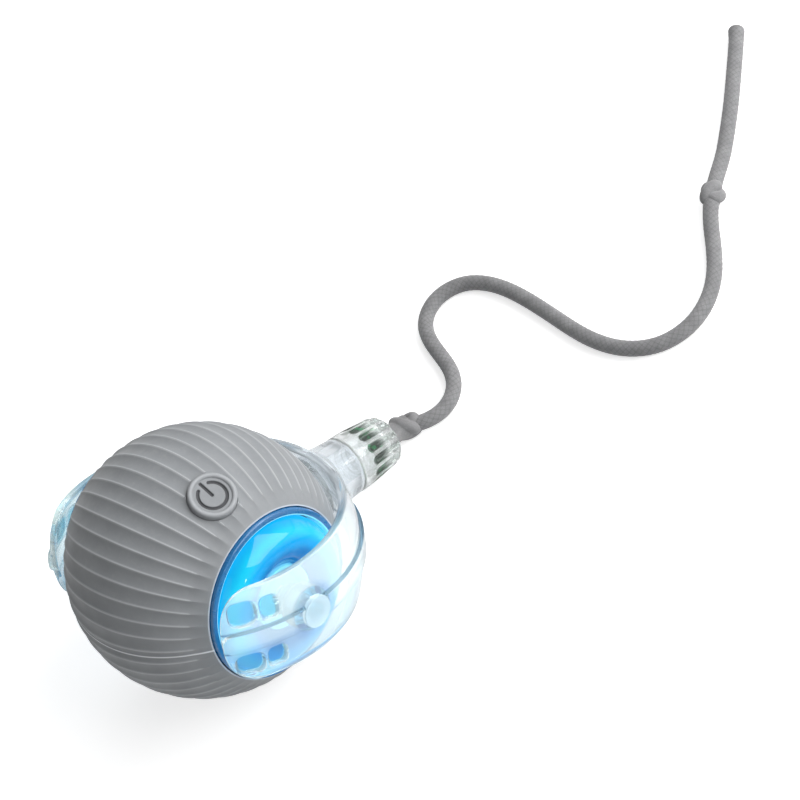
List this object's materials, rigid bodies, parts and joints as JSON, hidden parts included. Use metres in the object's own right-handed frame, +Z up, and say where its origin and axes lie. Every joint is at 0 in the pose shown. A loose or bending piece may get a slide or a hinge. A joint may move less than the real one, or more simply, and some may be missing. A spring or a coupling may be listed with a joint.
{
  "type": "self rolling cat ball",
  "caption": "Small fluted motor ball with lit side windows that rolls inside a clear yoke and drags a knotted rope tail.",
  "frame": {"origin": "the point of the floor that the ball touches, straight below the ball's centre", "axes": "+X along the axle towards the window on the button's side, +Y the way the yoke and its tail trail, +Z up"},
  "size_m": [0.0637, 0.1547, 0.043],
  "materials": {
    "skin": "matte silicone",
    "shell": "fine matte",
    "bezel": "gloss",
    "lens": "gloss, lit from behind",
    "clear": "clear, polished",
    "board": "lacquered board",
    "steel": "satin",
    "brass": "turned",
    "gear": "moulded",
    "cell": "sleeved can",
    "dark": "matte",
    "rope": "braided cord",
    "inner_knot": "braided cord"
  },
  "bodies": {
    "yoke": {"yoke_band": "clear", "pivot_pin_right": "clear", "pivot_pin_left": "clear"},
    "ball": {"skin_upper": "skin", "skin_lower": "skin", "shell_upper": "shell", "shell_lower": "shell", "shell_screw_1": "steel", "shell_screw_2": "steel", "shell_screw_3": "steel", "shell_screw_4": "steel", "bezel_ring_right": "bezel", "bezel_ring_left": "bezel", "window_lens_right": "lens", "window_lens_left": "lens", "hub_cup_right": "clear", "hub_cup_left": "clear", "light_board_right": "board", "light_board_left": "board", "switch_board": "board", "tact_switch": "dark", "chassis": "shell", "end_plate": "shell", "battery_cell": "cell", "motor": "steel", "control_board": "board", "charging_port": "steel", "layshaft_pin": "steel", "bush_inner": "brass", "bush_outer": "brass"},
    "button": {"power_button": "skin"},
    "weight": {"eccentric_weight": "steel", "drive_shaft": "steel", "output_gear": "gear"},
    "compound": {"compound_gear": "gear"},
    "pinion": {"motor_pinion": "brass"},
    "tail": {"anchor_knot": "inner_knot", "rope_neck": "rope", "knot_first": "rope", "rope_main": "rope", "knot_second": "rope", "rope_end": "rope"},
    "cap": {"tail_cap": "clear"}
  },
  "joints": [
    {"name": "ball_roll", "type": "hinge", "parent": "yoke", "child": "ball", "pos_m": [0, 0, 0.0215], "axis": [1, 0, 0], "continuous": true},
    {"name": "button_press", "type": "slide", "parent": "ball", "child": "button", "axis": [-0.5075, -0.1845, -0.8416], "range_m": [0, 0.0005], "stiffness_N_per_m": 300},
    {"name": "weight_swing", "type": "hinge", "parent": "ball", "child": "weight", "pos_m": [0, 0, 0.0215], "axis": [1, 0, 0], "continuous": true},
    {"name": "compound_spin", "type": "hinge", "parent": "ball", "child": "compound", "pos_m": [0, 0.00757, 0.02636], "axis": [1, 0, 0], "continuous": true},
    {"name": "pinion_spin", "type": "hinge", "parent": "ball", "child": "pinion", "pos_m": [0, 0.00299, 0.03229], "axis": [1, 0, 0], "continuous": true},
    {"name": "tail_slide", "type": "slide", "parent": "yoke", "child": "tail", "axis": [0, 0.9006, -0.4347], "range_m": [0, 0.0024]},
    {"name": "cap_turn", "type": "hinge", "parent": "tail", "child": "cap", "pos_m": [0, 0.03692, 0.00368], "axis": [0, 0.9006, -0.4347], "range_deg": [0, 720]}
  ],
  "couplings": [
    {"joint": "compound_spin", "follows": "weight_swing", "ratio": -3},
    {"joint": "pinion_spin", "follows": "weight_swing", "ratio": 7},
    {"joint": "cap_turn", "follows": "tail_slide", "rad_per_m": 5235.9}
  ]
}
